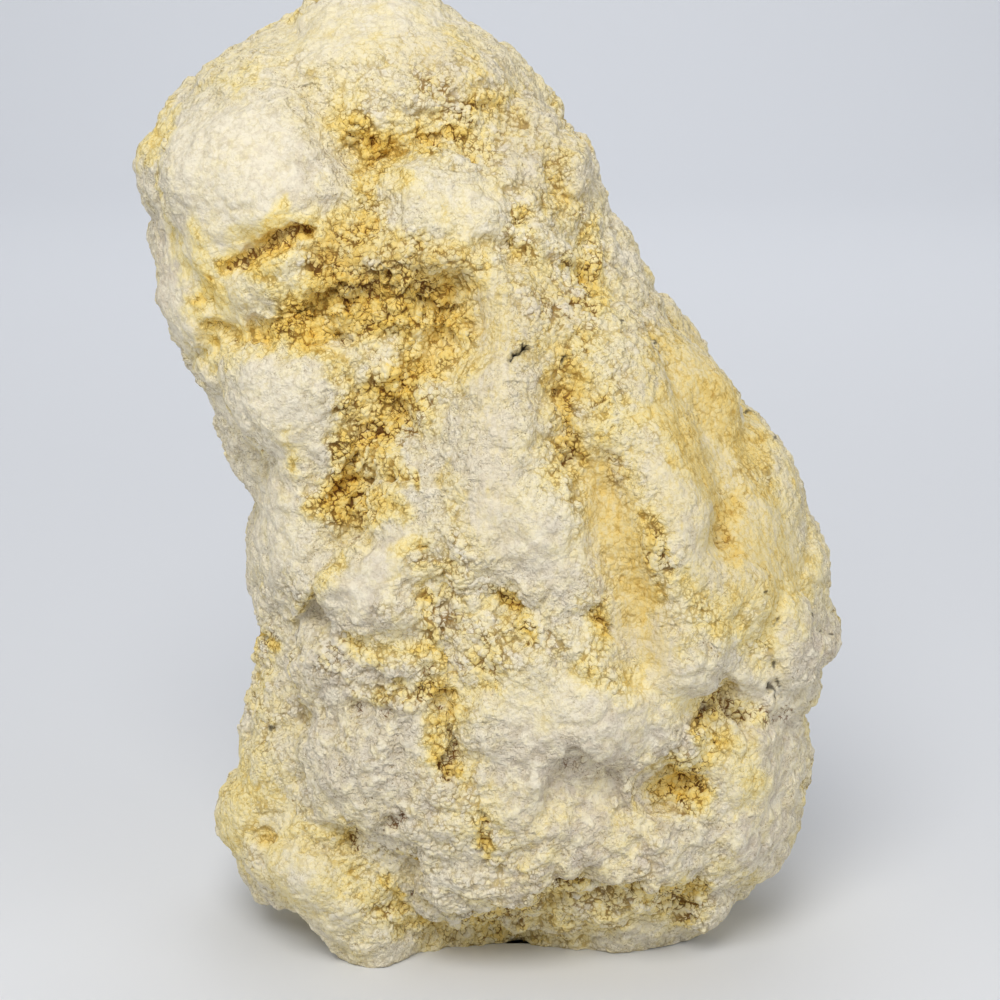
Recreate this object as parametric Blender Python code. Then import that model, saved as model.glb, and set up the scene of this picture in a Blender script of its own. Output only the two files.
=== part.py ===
"""Quartz geode, seen by its rind: one knobbly chalk-white stone that stands on its flat broken base.

The script's tables are in millimetres and the mesh is in metres. +Z is up and the front faces -Y.
"""

import math

import bmesh
import bpy
import numpy as np
from mathutils import Vector, noise

NAME = "geode"
MM = 0.001

# Driving dimensions, in millimetres
HEIGHT = 82.0
UNDERSIDE = 5.0  # how far the rounded underside would run on below the base
CROWN = 7.0  # the height over which the top closes
ROUNDNESS = 2.3  # 2 is an ellipse, more is squarer
FACES = 9700  # of the finished stone, about
LUMP_COVER = 1.5  # the lumps' usual rise, by which the body under them is smaller
WARP = 1.3  # how far lumps and hollows wander from round or straight
WARP_SIZE = 7.5
ROUGHNESS = 0.45  # uneven relief everywhere
ROUGH_SIZE = 4.5
EASING_PASSES = 3
BASE_SNAP = 0.3  # corners this near the base plane are laid in it

# Each level of the stone: its left and right edges, the crest that faces the front, and how far
# the front and the back stand from the middle
LEVELS = (
    # height, left, right, crest, front, back
    (0.0, -19.5, 18.0, 1.0, 10.6, 12.0),
    (1.6, -21.0, 20.6, 2.0, 12.8, 14.0),
    (4.0, -23.4, 24.0, 3.0, 15.7, 16.5),
    (6.5, -24.8, 25.8, 3.0, 17.5, 18.5),
    (9.0, -25.6, 26.5, 2.5, 18.7, 20.0),
    (12.0, -24.9, 26.6, 2.0, 19.7, 21.3),
    (15.0, -23.2, 27.0, 1.5, 20.6, 22.3),
    (20.5, -22.7, 26.8, 1.0, 21.5, 23.2),
    (23.0, -20.6, 28.8, 1.0, 21.8, 23.2),
    (26.0, -20.6, 29.1, 1.5, 22.0, 22.8),
    (29.0, -21.4, 27.8, 2.0, 22.2, 22.0),
    (34.0, -22.0, 28.1, 2.0, 22.3, 20.7),
    (40.0, -21.8, 25.9, 2.0, 22.0, 19.8),
    (45.0, -24.2, 23.0, 0.5, 21.3, 19.8),
    (50.0, -26.8, 19.4, -1.0, 20.3, 20.3),
    (55.5, -28.1, 14.7, -4.0, 19.0, 20.4),
    (60.5, -29.3, 10.2, -7.5, 18.2, 19.4),
    (64.0, -29.4, 8.8, -9.5, 17.2, 18.0),
    (68.0, -31.2, 8.5, -11.5, 15.8, 16.6),
    (73.3, -27.0, 3.6, -12.0, 12.8, 13.6),
    (78.3, -20.2, -1.0, -11.0, 9.0, 10.0),
    (82.0, -18.5, -2.6, -10.2, 6.4, 7.4),
)

# Rounded lumps of the front: place across and up, radius and rise
FRONT_LUMPS = {
    "shoulder": (-21.0, 67.0, 10.5, 3.4),
    "shoulder_foot": (-25.5, 60.0, 6.0, 1.3),
    "cap": (-11.0, 78.0, 9.0, 2.1),
    "cap_left": (-19.0, 74.0, 6.5, 1.3),
    "white_patch": (-4.5, 66.0, 5.0, 2.2),
    "temple_a": (2.0, 67.5, 4.0, 1.6),
    "temple_b": (4.0, 62.5, 3.6, 1.4),
    "temple_c": (7.0, 65.5, 4.0, 1.2),
    "cheek": (-21.5, 57.0, 4.5, 1.2),
    "left_white": (-19.0, 50.5, 7.0, 2.9),
    "left_under": (-16.5, 46.5, 4.0, 1.8),
    "left_grey": (-17.5, 43.0, 4.5, 1.4),
    "left_cream": (-17.5, 38.0, 5.5, 2.5),
    "left_low": (-19.5, 33.0, 4.0, 1.7),
    "facet": (-8.0, 39.5, 4.8, 1.6),
    "grey_facet": (-10.5, 34.0, 6.2, 2.5),
    "grey_lump": (-14.5, 27.0, 5.5, 2.3),
    "grey_small": (-9.5, 29.0, 3.5, 1.7),
    "belly_left": (-8.5, 24.5, 4.5, 1.8),
    "hip_left": (-13.0, 19.5, 6.5, 2.1),
    "hip_middle": (-6.0, 16.5, 6.5, 2.0),
    "brow": (5.5, 55.5, 4.5, 1.4),
    "chest": (3.5, 41.5, 5.2, 2.1),
    "chest_left": (-2.0, 38.5, 4.2, 1.7),
    "belly": (5.0, 35.0, 4.6, 1.6),
    "belly_low": (3.0, 29.5, 4.4, 1.7),
    "bright_bulge": (7.0, 25.0, 6.5, 2.5),
    "navel": (-1.5, 24.0, 4.2, 1.7),
    "lap": (2.5, 17.5, 7.0, 2.1),
    "lap_right": (10.0, 16.0, 5.5, 1.8),
    "flank": (16.0, 31.0, 4.6, 2.0),
    "knob": (25.5, 28.5, 4.4, 2.1),
    "knob_inner": (21.0, 33.5, 4.2, 1.4),
    "right_low": (22.0, 18.5, 5.5, 1.8),
    "right_foot": (20.0, 11.5, 6.0, 2.0),
    "foot_a": (12.5, 10.0, 5.8, 1.7),
    "foot_b": (5.0, 11.0, 5.2, 1.6),
    "foot_c": (-2.5, 10.0, 5.6, 1.7),
    "lobe_outer": (-22.0, 13.0, 4.4, 2.3),
    "lobe_low": (-20.5, 8.0, 4.0, 1.8),
    "lobe_front": (-11.4, 2.4, 4.8, 4.2),
    "toe": (17.6, 2.6, 4.2, 2.6),
}

# Ridges of the front: width to either side, rise, and the points along the crest, across and up
FRONT_RIDGES = {
    "ledge": (3.2, 1.6, ((-14.0, 60.6), (-9.0, 61.2), (-4.0, 61.0))),
    "centre": (4.6, 1.9, ((0.0, 58.5), (0.8, 51.0), (0.0, 44.0))),
    "right": (4.4, 1.9, ((9.8, 55.5), (11.0, 49.5), (13.2, 44.0), (15.5, 37.5))),
    "valley_lip": (2.2, 1.2, ((-11.5, 40.2), (-8.2, 41.4), (-6.4, 43.6))),
    "lobe": (4.8, 3.2, ((-17.2, 10.0), (-14.6, 5.8), (-12.4, 3.0))),
}

# Hollows of the front: width to either side, depth, and the points along the bottom
FRONT_HOLLOWS = {
    "shoulder_crevice": (2.1, 1.5, ((-22.0, 60.0), (-19.0, 61.7), (-15.4, 63.2), (-12.0, 64.5))),
    "upper_recess": (3.6, 1.3, ((-13.5, 73.5), (-11.0, 71.0), (-5.0, 71.6), (0.5, 71.5))),
    "upper_stem": (3.0, 1.0, ((-10.5, 70.0), (-10.0, 66.0), (-12.0, 63.0))),
    "main_hollow": (3.7, 2.3, ((-17.5, 56.4), (-12.6, 57.2), (-7.8, 57.5), (-3.5, 57.3))),
    "valley": (4.6, 2.5, ((-4.5, 56.0), (-8.0, 51.4), (-11.0, 47.0), (-13.0, 42.3))),
    "brow_groove": (2.2, 1.0, ((4.4, 51.2), (4.5, 49.8), (5.3, 47.5), (5.9, 43.8))),
    "flow_groove": (3.4, 1.4, ((7.9, 45.0), (9.4, 40.5), (10.7, 35.5), (11.8, 30.5))),
    "navel_groove": (1.7, 1.0, ((-0.2, 35.7), (1.2, 34.2), (1.5, 31.5))),
    "slot": (2.0, 1.3, ((-6.1, 35.0), (-5.6, 30.5), (-4.8, 27.3), (-4.3, 23.0), (-3.9, 19.5))),
    "grey_recess": (1.8, 1.1, ((-12.5, 30.8), (-9.0, 31.2), (-5.6, 30.4))),
    "grey_crease": (1.4, 0.9, ((-10.9, 26.4), (-6.0, 27.0))),
    "left_crack": (1.8, 1.0, ((-12.4, 37.4), (-16.3, 33.0), (-20.3, 28.6))),
    "ochre_pit": (2.9, 2.3, ((14.4, 17.4), (15.6, 17.0))),
    "right_crease": (1.8, 1.3, ((16.3, 23.6), (19.4, 25.0), (22.0, 23.3))),
    "small_pit": (1.5, 1.1, ((17.9, 21.3), (18.3, 21.2))),
    "lobe_recess": (2.4, 1.3, ((-20.5, 11.2), (-16.0, 12.2), (-12.0, 12.0), (-8.6, 9.4))),
    "lobe_step": (1.8, 1.3, ((-7.9, 8.6), (-7.9, 3.0))),
    "lobe_undercut": (4.2, 4.4, ((-20.0, 0.8), (-16.6, 0.2))),
    "right_face": (2.8, 1.3, ((17.5, 49.0), (19.2, 46.0), (19.9, 41.5), (18.5, 38.5))),
    "temple_groove": (1.6, 0.9, ((4.8, 68.6), (5.0, 65.0))),
    "temple_recess": (1.7, 1.0, ((1.5, 64.4), (1.3, 61.2))),
    "foot_crease": (1.8, 1.0, ((-7.0, 5.6), (-2.5, 6.2), (5.0, 7.4), (16.0, 7.6))),
}

# Lumps of the sides, the back and the top, spread evenly and varied from one seed
OTHER_LUMPS = 230
OTHER_RADIUS = (3.6, 8.2)
OTHER_RISE = 0.29  # of the radius
SCATTER = 0.09  # on a sphere of radius 1
FRONT_LIMIT = -9.0  # lumps in front of this are the hand-placed ones
SEED = 11

# Long folds of the back and the sides, as FRONT_HOLLOWS but with points across, back and up
BACK_HOLLOWS = {
    "back_valley": (4.6, 3.0, ((-16.0, 17.0, 62.0), (-5.0, 20.0, 48.0), (6.0, 22.0, 27.0))),
    "back_hollow": (5.0, 2.6, ((14.0, 19.0, 20.0), (5.0, 21.0, 14.0), (-6.0, 20.0, 12.0))),
    "left_fold": (3.6, 2.0, ((-28.0, 6.0, 52.0), (-22.0, 12.0, 40.0), (-20.0, 14.0, 27.0))),
    "right_fold": (3.8, 2.2, ((12.0, 14.0, 56.0), (20.0, 12.0, 42.0), (25.0, 10.0, 32.0))),
    "crown_fold": (3.0, 1.6, ((-22.0, 4.0, 76.0), (-14.0, 8.0, 76.0), (-6.0, 7.0, 76.0))),
}

RIND_COLOUR = (0.66, 0.60, 0.46, 1.0)
RIND_ROUGHNESS = 0.9


def clear_scene():
    for thing in list(bpy.data.objects):
        bpy.data.objects.remove(thing, do_unlink=True)


def eased(height, heights, values):
    """Reads a column of LEVELS at any height, along a smooth curve through its rows."""
    slopes = np.gradient(values, heights)
    row = np.clip(np.searchsorted(heights, height) - 1, 0, len(heights) - 2)
    span = heights[row + 1] - heights[row]
    t = np.clip((height - heights[row]) / span, 0.0, 1.0)
    start = (1 + 2 * t) * (1 - t) ** 2 * values[row] + t * (1 - t) ** 2 * span * slopes[row]
    end = t**2 * (3 - 2 * t) * values[row + 1] + t**2 * (t - 1) * span * slopes[row + 1]
    return start + end


def level_at(height):
    """Left, right, crest, front and back of the stone at each height."""
    table = np.array(LEVELS)
    return [eased(height, table[:, 0], table[:, column]) for column in range(1, table.shape[1])]


def closing(height):
    """How much of a level's width is left where the top and the underside close."""
    above = np.clip((height - (HEIGHT - CROWN)) / CROWN, 0.0, 1.0)
    below = np.clip(-height / UNDERSIDE, 0.0, 1.0)
    return np.sqrt(1 - above**2) * np.sqrt(1 - below**2)


def body_points(directions):
    """Carries the points of a sphere of radius 1 to the smooth body."""
    height = -UNDERSIDE + (directions[:, 2] + 1) / 2 * (HEIGHT + UNDERSIDE)
    left, right, crest, front, back = level_at(height)
    angle = np.arctan2(directions[:, 1], directions[:, 0])
    across = np.cos(angle)
    along = np.sin(angle)
    power = 2 / ROUNDNESS
    reach = np.where(across > 0, right - crest, crest - left)
    depth = np.where(along > 0, back, front)
    left_over = closing(height)
    x = crest + left_over * reach * np.sign(across) * np.abs(across) ** power
    y = left_over * depth * np.sign(along) * np.abs(along) ** power
    return np.column_stack((x, y, height))


def on_front(x, z):
    """The point of the body's front face at a place across and up."""
    left, right, crest, front, _ = (float(value) for value in level_at(np.array(z)))
    reach = right - crest if x > crest else crest - left
    share = min(abs(x - crest) / reach, 1.0)
    y = -front * float(closing(z)) * (1 - share**ROUNDNESS) ** (1 / ROUNDNESS)
    return np.array((x, y, z))


def gap_to_path(points, path):
    """The distance of each point from a path of straight runs."""
    nearest = np.full(len(points), np.inf)
    for start, end in zip(path, path[1:]):
        run = end - start
        along = np.clip((points - start) @ run / (run @ run), 0.0, 1.0)
        gap = np.linalg.norm(points - (start + along[:, None] * run), axis=1)
        nearest = np.minimum(nearest, gap)
    return nearest


def wandering(points, size):
    """A smooth random step for each point, up to about 1 long."""
    return np.array([noise.noise_vector(Vector(point) / size) for point in points])


def uneven(points, size):
    """Uneven relief of several sizes, between about -1 and 1."""
    return np.array([noise.fractal(Vector(point) / size, 1.0, 2.1, 3) for point in points])


def dome(gap, radius, rise):
    """A rounded lump, steep at its foot."""
    return rise * np.clip(1 - (gap / radius) ** 2, 0.0, None) ** 0.7


def trough(gap, width, depth):
    """A hollow with soft lips."""
    return depth * np.clip(1 - (gap / width) ** 2, 0.0, None) ** 1.5


def other_lumps(chance):
    """Centres, radii and rises of the lumps that cover the stone away from its front."""
    count = np.arange(OTHER_LUMPS) + 0.5
    turn = count * math.pi * (3 - math.sqrt(5))
    level = 1 - 2 * count / OTHER_LUMPS
    ring = np.sqrt(1 - level**2)
    directions = np.column_stack((ring * np.cos(turn), ring * np.sin(turn), level))
    directions += chance.normal(0.0, SCATTER, directions.shape)
    directions /= np.linalg.norm(directions, axis=1)[:, None]
    centres = body_points(directions)
    radii = chance.uniform(*OTHER_RADIUS, OTHER_LUMPS)
    keep = centres[:, 1] > FRONT_LIMIT
    return centres[keep], radii[keep]


def rises(points, chance):
    """How far the lumps and ridges lift each point. Where they meet they leave a crease."""
    lift = np.zeros(len(points))
    for x, z, radius, rise in FRONT_LUMPS.values():
        gap = np.linalg.norm(points - on_front(x, z), axis=1)
        lift = np.maximum(lift, dome(gap, radius, rise))
    for width, rise, path in FRONT_RIDGES.values():
        gap = gap_to_path(points, [on_front(x, z) for x, z in path])
        lift = np.maximum(lift, dome(gap, width, rise))
    for centre, radius in zip(*other_lumps(chance)):
        gap = np.linalg.norm(points - centre, axis=1)
        lift = np.maximum(lift, dome(gap, radius, OTHER_RISE * radius))
    return lift


def falls(points):
    """How far the hollows sink each point."""
    sink = np.zeros(len(points))
    for width, depth, path in FRONT_HOLLOWS.values():
        gap = gap_to_path(points, [on_front(x, z) for x, z in path])
        sink += trough(gap, width, depth)
    for width, depth, path in BACK_HOLLOWS.values():
        gap = gap_to_path(points, [np.array(point) for point in path])
        sink += trough(gap, width, depth)
    return sink


def read_vectors(items, name):
    values = np.empty(len(items) * 3, dtype=np.float32)
    items.foreach_get(name, values)
    return values.reshape(-1, 3).astype(float)


def write_points(mesh, points):
    mesh.vertices.foreach_set("co", points.astype(np.float32).ravel())
    mesh.update()


def shape_stone(mesh):
    """Turns a sphere's mesh into the stone, still without its flat base."""
    directions = read_vectors(mesh.vertices, "co")
    directions /= np.linalg.norm(directions, axis=1)[:, None]
    body = body_points(directions)
    write_points(mesh, body)
    outward = read_vectors(mesh.vertex_normals, "vector")
    wandered = body + WARP * wandering(body, WARP_SIZE)
    lift = rises(wandered, np.random.default_rng(SEED)) - falls(wandered) - LUMP_COVER
    lift += ROUGHNESS * uneven(body, ROUGH_SIZE)
    write_points(mesh, (body + outward * lift[:, None]) * MM)


def thin_out(stone):
    """Eases the folds in the creases, and keeps the faces where the form needs them."""
    easing = stone.modifiers.new("eased creases", "SMOOTH")
    easing.factor = 0.5
    easing.iterations = EASING_PASSES
    thinning = stone.modifiers.new("fewer faces", "DECIMATE")
    thinning.ratio = FACES / len(stone.data.polygons)
    ready = stone.evaluated_get(bpy.context.evaluated_depsgraph_get())
    mesh = bpy.data.meshes.new_from_object(ready)
    stone.modifiers.clear()
    stone.data = mesh


def break_off_base(mesh):
    """Cuts the stone flat at the base plane and closes the cut with flat faces."""
    work = bmesh.new()
    work.from_mesh(mesh)
    for corner in work.verts:
        if abs(corner.co.z) < BASE_SNAP * MM:
            corner.co.z = 0.0
    everything = work.verts[:] + work.edges[:] + work.faces[:]
    bmesh.ops.bisect_plane(
        work, geom=everything, dist=1e-7, plane_co=(0, 0, 0), plane_no=(0, 0, 1), clear_inner=True
    )
    rim = [edge for edge in work.edges if edge.is_boundary]
    bmesh.ops.contextual_create(work, geom=rim)
    bmesh.ops.triangulate(work, faces=work.faces[:])
    bmesh.ops.recalc_face_normals(work, faces=work.faces[:])
    work.to_mesh(mesh)
    work.free()


def centre_on_base(mesh):
    """Puts the middle of the stone's outer box over the origin."""
    points = read_vectors(mesh.vertices, "co")
    middle = (points.min(axis=0) + points.max(axis=0)) / 2
    write_points(mesh, points - (middle[0], middle[1], 0.0))


def rind_material():
    material = bpy.data.materials.new("chalky rind")
    material.use_nodes = True
    surface = material.node_tree.nodes["Principled BSDF"]
    surface.inputs["Base Color"].default_value = RIND_COLOUR
    surface.inputs["Roughness"].default_value = RIND_ROUGHNESS
    surface.inputs["Metallic"].default_value = 0.0
    return material


def make_stone():
    bpy.ops.mesh.primitive_ico_sphere_add(subdivisions=7, radius=1.0)
    stone = bpy.context.active_object
    stone.name = NAME
    shape_stone(stone.data)
    thin_out(stone)
    break_off_base(stone.data)
    centre_on_base(stone.data)
    stone.data.name = NAME
    stone.data.materials.append(rind_material())
    stone.data.shade_smooth()
    return stone


def put_in_collection(stone):
    group = bpy.data.collections.new("quartz geode")
    bpy.context.scene.collection.children.link(group)
    for old in list(stone.users_collection):
        old.objects.unlink(stone)
    group.objects.link(stone)


clear_scene()
put_in_collection(make_stone())
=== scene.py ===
"""The looks of the quartz geode: its chalky rind, its crumbly hollows and the ochre powder in them.

Lengths are millimetres unless a name says otherwise. The front faces -Y and +Z is up. A place on the
front is written as the pixel of the 1000 by 1000 picture in which the camera sees it.
"""

import itertools
import math

import bmesh
import bpy
import numpy as np
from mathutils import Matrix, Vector


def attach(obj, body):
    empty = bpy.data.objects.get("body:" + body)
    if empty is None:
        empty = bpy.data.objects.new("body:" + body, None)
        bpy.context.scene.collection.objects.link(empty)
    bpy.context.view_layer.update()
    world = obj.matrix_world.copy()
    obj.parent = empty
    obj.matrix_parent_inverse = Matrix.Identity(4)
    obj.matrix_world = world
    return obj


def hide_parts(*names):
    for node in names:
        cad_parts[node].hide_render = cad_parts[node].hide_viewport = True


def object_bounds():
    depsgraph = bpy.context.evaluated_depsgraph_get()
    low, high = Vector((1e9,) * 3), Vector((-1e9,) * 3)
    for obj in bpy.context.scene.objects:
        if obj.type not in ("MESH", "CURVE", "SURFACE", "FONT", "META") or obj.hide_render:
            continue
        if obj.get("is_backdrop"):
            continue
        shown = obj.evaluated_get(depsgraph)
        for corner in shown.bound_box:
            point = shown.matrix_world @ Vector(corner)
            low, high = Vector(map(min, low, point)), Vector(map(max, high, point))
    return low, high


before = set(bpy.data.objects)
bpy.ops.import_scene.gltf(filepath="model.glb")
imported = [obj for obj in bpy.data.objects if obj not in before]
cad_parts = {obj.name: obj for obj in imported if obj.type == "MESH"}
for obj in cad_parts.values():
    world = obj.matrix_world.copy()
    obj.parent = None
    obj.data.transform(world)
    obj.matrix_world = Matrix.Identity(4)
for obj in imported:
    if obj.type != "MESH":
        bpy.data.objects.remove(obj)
cad_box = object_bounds()

MM = 0.001
NODE = "geode"
BODY = "root"

# The camera
PICTURE = 1000  # pixels each way
MM_PER_PIXEL = 0.0875  # at the aim point
DISTANCE = 220.0
ELEVATION = math.radians(13.5)
AIM = np.array((0.45, -0.6, 37.8))
SENSOR = 36.0
FORWARD = np.array((0.0, math.cos(ELEVATION), -math.sin(ELEVATION)))
UPWARD = np.array((0.0, math.sin(ELEVATION), math.cos(ELEVATION)))
EYE = AIM - DISTANCE * FORWARD

# The skin
VOXEL = 0.315  # its mesh before the front is refined to half of that
FACET_EASING = 22  # passes that round the solid's facets off
BROAD_EASING = 120  # passes that leave only the broad form
FRONT_EASING = 3  # passes over the refined front
SINK = 0.25  # the middle of the relief lies this far inside the solid
RIM_DEPTH = 2.5  # how far the bands' rims turn in under the skin
KNOB_SIZE, KNOB_HEIGHT = 4.6, 0.55
LUMP_SIZE, LUMP_HEIGHT = 2.1, 0.22
FOLDS = ((3.8, 0.6), (1.7, 0.3))  # size and height of lumps that meet in winding creases
RIDGE_SIZE, RIDGE_HEIGHT = 2.4, 0.34
RIDGE_SLANT, RIDGE_STRETCH = 0.25, 0.3  # ridges lean to the right as they run down
SWELL_SIZE, SWELL_HEIGHT = 5.5, 0.3
WEAR_SIZE, WEAR_HEIGHT = 1.3, 0.18
CLUMP_SIZE, CLUMP_HEIGHT = 1.9, 0.32
CLOD_SIZE, CLOD_HEIGHT = 1.0, 0.32
CRUMB_SIZE, CRUMB_HEIGHT = 0.48, 0.22
SUGAR_HEIGHT = 0.025
SEED = 7  # of the sugary roughness
BANDS = ("foot", "low", "middle", "high", "crown")  # the rind's pieces, from the ground up

# The look: sizes of its noises, height of its finest relief, and colours from 0 to 255
MOTTLE_SIZE, PATCH_SIZE, DULL_SIZE, STREAK_SIZE = 2.2, 1.3, 0.6, 0.4
CREASE_SIZE, SPECKLE_SIZE, WORN_SIZE, GRIT_SIZE = 0.55, 0.35, 0.2, 0.17
BUMP_HEIGHT = 0.12
CHALK_TO_OCHRE = (
    (0.0, (238, 229, 206)),
    (0.15, (241, 229, 190)),
    (0.32, (244, 226, 163)),
    (0.5, (242, 214, 129)),
    (0.68, (240, 205, 104)),
    (0.84, (230, 186, 78)),
    (1.0, (208, 155, 54)),
)
# pits, grit and cracks, and the painted shade deep in the gaps between crumbs
PITS = ((0.0, (138, 119, 84)), (0.3, (140, 105, 46)), (0.8, (98, 60, 14)))  # by the powder in them
# the grey of the see-through patches, also used for painted shade
MILKY_AND_SHADE = (205, 191, 174)
DULL = (196, 180, 154)
EARTHY = (192, 166, 120)
# the brown of the painted shade in crevices, hollows and undercuts
SHADE_BROWN = (108, 66, 20)
SOOTY = (26, 22, 18)
STUDIO = (222, 224, 228)

# The studio, in metres: each lamp's place, aim, size, power in watts and colour
MIDDLE = (0.0, 0.0, 0.045)
LAMPS = dict(
    key=((-0.05, -0.27, 0.295), MIDDLE, 0.2, 0.915, (1.0, 0.98, 0.94)),
    fill=((0.46, -0.26, 0.2), MIDDLE, 0.5, 0.66, (0.98, 0.98, 1.0)),
    side=((-0.45, -0.1, 0.2), MIDDLE, 0.4, 0.24, (1.0, 0.99, 0.97)),
    back=((0.1, 0.35, 0.5), MIDDLE, 0.4, 0.34, (1.0, 1.0, 1.0)),
    wall=((0.0, 0.45, 0.6), (0.0, 0.8, 0.1), 0.6, 1.9, (0.97, 0.98, 1.0)),
)
DAYLIGHT = (0.92, 0.95, 1.0, 1.0)
DAYLIGHT_STRENGTH = 0.35
SWEEP_FRONT, SWEEP_BACK, SWEEP_SIDE, SWEEP_HEIGHT = -1.2, 0.9, 1.5, 1.6
SWEEP_BEND = 0.35  # radius of the curve between floor and backdrop
SWEEP_STEPS = 16

# Each plan below names runs on the front: reach to either side in pixels, strength out of 100, places

# The pale yellow cast of whole areas
CAST = dict(
    head=(110, 16, (380, 95), (470, 150), (540, 230)),
    brow=(75, 24, (300, 290), (420, 300), (480, 300)),
    neck=(50, 20, (390, 420), (360, 470), (340, 520)),
    chest=(70, 22, (565, 360), (570, 480)),
    middle=(70, 20, (440, 600), (500, 640), (540, 650)),
    middle_low=(50, 20, (440, 700), (460, 745), (475, 800)),
    low=(50, 18, (520, 845), (620, 850)),
    side=(85, 38, (690, 360), (720, 460), (765, 560)),
    flow=(45, 26, (600, 470), (640, 640)),
    right_low=(60, 10, (715, 740), (690, 800), (770, 800)),
    lobe=(60, 28, (240, 790), (300, 860), (360, 900)),
    left_slope=(40, 10, (265, 640), (265, 740)),
    left_side=(30, 20, (200, 240), (215, 340)),
    cap=(70, 6, (330, 30), (440, 20)),
    rim=(40, 8, (205, 80), (290, 10)),
    foot=(30, 14, (440, 930), (700, 895)),
)
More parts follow.
